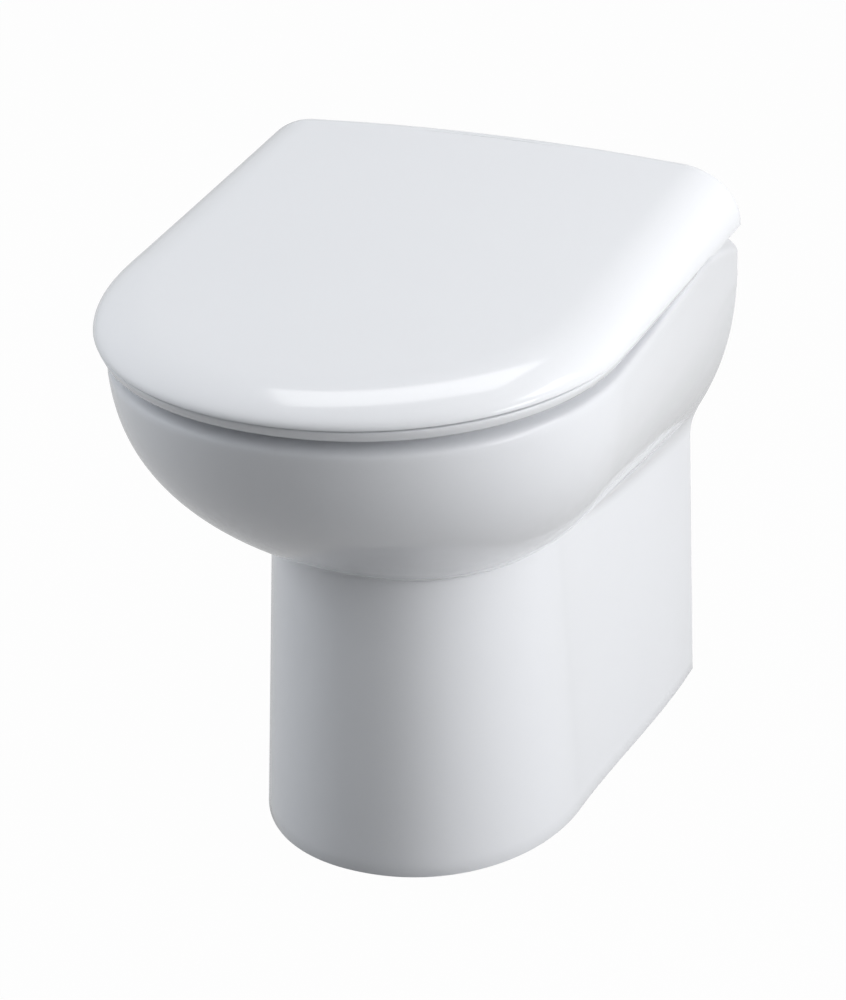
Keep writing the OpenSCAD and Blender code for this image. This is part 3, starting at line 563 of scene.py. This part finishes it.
def makeLid():
    bm = bmesh.new()
    s = lidShape
    crest = lidTop(s["rear"]) - s["crown"] * (1 - s["round"] / s["halfWidth"]) ** 2
    notch = (s["notchTop"] - s["bottom"]) / (crest - s["bottom"])
    atNotch = min(1.5, atan2(notch, sqrt(max(1e-6, 1 - notch * notch))))
    angles = sorted([pi / 2 * i / 20 for i in range(21)] + [atNotch])
    rings = [lidRing(sin(a), s["round"] * (1 - cos(a))) for a in angles]
    for inward in (0.047, 0.053, 0.061, 0.072, 0.088, 0.108, 0.130, 0.152, 0.168, 0.179):
        rings.append(lidRing(1.0, inward))
    current = None
    for r in rings:
        ring = addRing(bm, r + rearEdge(r))
        if current:
            bridge(bm, current, ring, True)
        current = ring
    # close the middle: pair the two sides
    n = len(rings[-1])
    half = n // 2
    left = current[half + 1:n]
    right = current[:half][::-1]
    front = current[half]
    bm.faces.new((right[0], front, left[0]))
    for i in range(half - 2):
        bm.faces.new((right[i + 1], right[i], left[i], left[i + 1]))
    bm.faces.new([right[half - 1], right[half - 2], left[half - 2], left[half - 1]] + current[n:])
    # openings for the seat's arms in the rear wall
    gone = []
    for f in bm.faces:
        c = f.calc_center_median()
        atRear = abs(c.y - s["rear"]) < 1e-5 and c.z < s["notchTop"]
        if atRear and s["notchX"][0] < abs(c.x) < s["notchX"][1]:
            gone.append(f)
    bmesh.ops.delete(bm, geom=gone, context="FACES")
    # the side hangs a little lower behind the seat
    for v in bm.verts:
        low = v.co.z < s["bottom"] + 1e-5 and v.co.y > s["tailY"]
        if low and (v.co.y < s["rear"] - 1e-5 or abs(v.co.x) > s["cornerX"]):
            v.co.z -= s["tailDrop"] * min(1.0, (v.co.y - s["tailY"]) / s["tailRun"])
    return finishMesh(bm, "lidShell", seatPlastic)

lid = makeLid()
facing(lid, (0.0, 0.0, 0.45), (0, 0, 1))
thick = lid.modifiers.new("pressedWall", "SOLIDIFY")
thick.thickness = lidShape["wall"]
thick.offset = -1
edge = lid.modifiers.new("easedEdges", "BEVEL")
edge.width = lidShape["edgeWidth"]
edge.segments = lidShape["edgeSteps"]
edge.limit_method = "ANGLE"
edge.angle_limit = radians(lidShape["edgeAngle"])
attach(lid, "lid")
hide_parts("lid")

def addRest(bm, x, y, height, steps=48):
    # a round post under the lid, rounded at its lower end
    r = restSet["radius"]
    rings = []
    for up, radius in ((0, 0.0), (0, r - 0.001), (0.0006, r - 0.0002), (0.0015, r), (height, r)):
        circle = [Vector((radius * cos(2 * pi * i / steps), radius * sin(2 * pi * i / steps), up))
                  for i in range(steps)]
        rings.append(addRing(bm, [Vector((x, y, restSet["bottom"])) + p for p in circle]))
    for a, b in zip(rings, rings[1:]):
        bridge(bm, a, b, True)

def makeLidFittings():
    bm = bmesh.new()
    for side in (-1, 1):
        addArm(bm, side * lidShape["armX"], lidShape["armBlock"])
        for x, y in restSet["places"]:
            under = lidTop(y) - lidShape["crown"] - restSet["below"]
            addRest(bm, side * x, y, under - restSet["bottom"])
    return finishMesh(bm, "lidFittings", seatPlastic)

fittings = makeLidFittings()
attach(fittings, "lid")
print("lid:", len(lid.data.polygons), "faces")


# finishes of the parts that stay as they are
finishes = {
    china: ("trap_entry_bend", "trap_climb", "trap_fall", "trap_outlet_bend", "outlet_spigot",
            "inlet_horn", "foot_lugs"),
    rubber: ("flush_cone", "stud_bushes"),
    fixings: ("floor_sleeves", "stud_washers", "wing_nuts"),
    steel: ("floor_washers", "floor_screws", "hinge_studs", "hinge_pin_left", "hinge_pin_right"),
    chrome: ("hinge_post_left", "hinge_post_right", "rosette_left", "rosette_right"),
    pads: ("seat_buffers_front", "seat_buffers_rear", "lid_buffers"),
    dampers: ("damper_left", "damper_right")}
for material, names in finishes.items():
    for name in names:
        for s in nodes[name].material_slots:
            s.material = material
print("finishes set on", sum(map(len, finishes.values())), "nodes")


# floor, world and lamps
studioSet = {"floorGrey": 0.32, "floorGlow": 0.98, "floorHalf": 12.0, "floorSteps": 8, "floorZ": -0.0005,
             "mirrored": 0.4, "fill": 0.14, "aim": (0.0, 0.0, 0.25)}

def seenShare(tree):
    # how much of the white background a ray sees: all of it from the camera, part of it as a reflection
    path = tree.nodes.new("ShaderNodeLightPath")
    share = tree.nodes.new("ShaderNodeMath")
    share.operation = "MULTIPLY_ADD"
    share.inputs[1].default_value = studioSet["mirrored"]
    tree.links.new(path.outputs["Is Glossy Ray"], share.inputs[0])
    tree.links.new(path.outputs["Is Camera Ray"], share.inputs[2])
    total = tree.nodes.new("ShaderNodeMath")
    total.operation = "ADD"
    total.use_clamp = True
    tree.links.new(share.outputs["Value"], total.inputs[0])
    tree.links.new(path.outputs["Is Transmission Ray"], total.inputs[1])
    return total

def whiteFloor():
    mat = bpy.data.materials.new("paleFloor")
    mat.use_nodes = True
    tree = mat.node_tree
    tree.nodes.clear()
    out = tree.nodes.new("ShaderNodeOutputMaterial")
    diffuse = tree.nodes.new("ShaderNodeBsdfDiffuse")
    diffuse.inputs["Color"].default_value = (studioSet["floorGrey"],) * 3 + (1,)
    glow = tree.nodes.new("ShaderNodeEmission")
    glow.inputs["Color"].default_value = (1, 1, 1, 1)
    glow.inputs["Strength"].default_value = 1.0
    part = tree.nodes.new("ShaderNodeMixShader")
    part.inputs["Fac"].default_value = studioSet["floorGlow"]
    tree.links.new(diffuse.outputs["BSDF"], part.inputs[1])
    tree.links.new(glow.outputs["Emission"], part.inputs[2])
    pick = tree.nodes.new("ShaderNodeMixShader")
    tree.links.new(seenShare(tree).outputs["Value"], pick.inputs["Fac"])
    tree.links.new(diffuse.outputs["BSDF"], pick.inputs[1])
    tree.links.new(part.outputs["Shader"], pick.inputs[2])
    tree.links.new(pick.outputs["Shader"], out.inputs["Surface"])
    return mat

def makeFloor():
    bm = bmesh.new()
    size, steps = studioSet["floorHalf"], studioSet["floorSteps"]
    marks = [-size + 2 * size * i / steps for i in range(steps + 1)]
    grid = [[bm.verts.new((x, y, studioSet["floorZ"])) for y in marks] for x in marks]
    for i in range(steps):
        for j in range(steps):
            bm.faces.new((grid[i][j], grid[i + 1][j], grid[i + 1][j + 1], grid[i][j + 1]))
    floor = finishMesh(bm, "studioFloor", whiteFloor(), False)

makeFloor()

def makeWorld():
    world = bpy.data.worlds.new("studioAir")
    bpy.context.scene.world = world
    world.use_nodes = True
    tree = world.node_tree
    tree.nodes.clear()
    out = tree.nodes.new("ShaderNodeOutputWorld")
    fill = tree.nodes.new("ShaderNodeBackground")
    fill.inputs["Color"].default_value = (0.93, 0.96, 1.0, 1)
    fill.inputs["Strength"].default_value = studioSet["fill"]
    seen = tree.nodes.new("ShaderNodeBackground")
    seen.inputs["Color"].default_value = (1, 1, 1, 1)
    seen.inputs["Strength"].default_value = 1.0
    pick = tree.nodes.new("ShaderNodeMixShader")
    tree.links.new(seenShare(tree).outputs["Value"], pick.inputs["Fac"])
    tree.links.new(fill.outputs["Background"], pick.inputs[1])
    tree.links.new(seen.outputs["Background"], pick.inputs[2])
    tree.links.new(pick.outputs["Shader"], out.inputs["Surface"])

makeWorld()

white, cool = (1, 1, 1), (0.93, 0.965, 1)
lamps = [  # name, place, width, height, watts, colour, seen as a reflection
    ("ceiling", (0.0, 0.20, 2.50), 1.6, 1.6, 18.0, white, False),
    ("window", (1.80, 0.45, 1.80), 0.9, 0.7, 4.5, white, True),
    ("overBack", (-0.20, 0.70, 2.15), 1.2, 0.55, 4.2, white, True),
    ("right", (2.15, 0.20, 0.76), 1.4, 1.2, 37.0, white, False),
    ("rightLow", (2.10, -0.45, 0.80), 0.7, 0.35, 4.0, white, True),
    ("left", (-2.17, -0.19, 1.26), 1.2, 1.6, 30.0, cool, False),
    ("front", (0.55, -1.90, 2.00), 1.6, 1.2, 8.0, (0.96, 0.98, 1), False)]

def makeLamps():
    for name, place, width, height, watts, colour, reflected in lamps:
        data = bpy.data.lights.new(name, "AREA")
        data.shape = "RECTANGLE"
        data.size, data.size_y = width, height
        data.energy = watts
        data.color = colour
        lamp = bpy.data.objects.new(name, data)
        lamp.location = place
        towards = Vector(studioSet["aim"]) - Vector(place)
        lamp.rotation_euler = towards.to_track_quat("-Z", "Y").to_euler()
        lamp.visible_glossy = reflected
        bpy.context.collection.objects.link(lamp)

makeLamps()
bpy.context.scene.view_settings.view_transform = "Standard"
print("lamps lit")

bpy.context.view_layer.update()
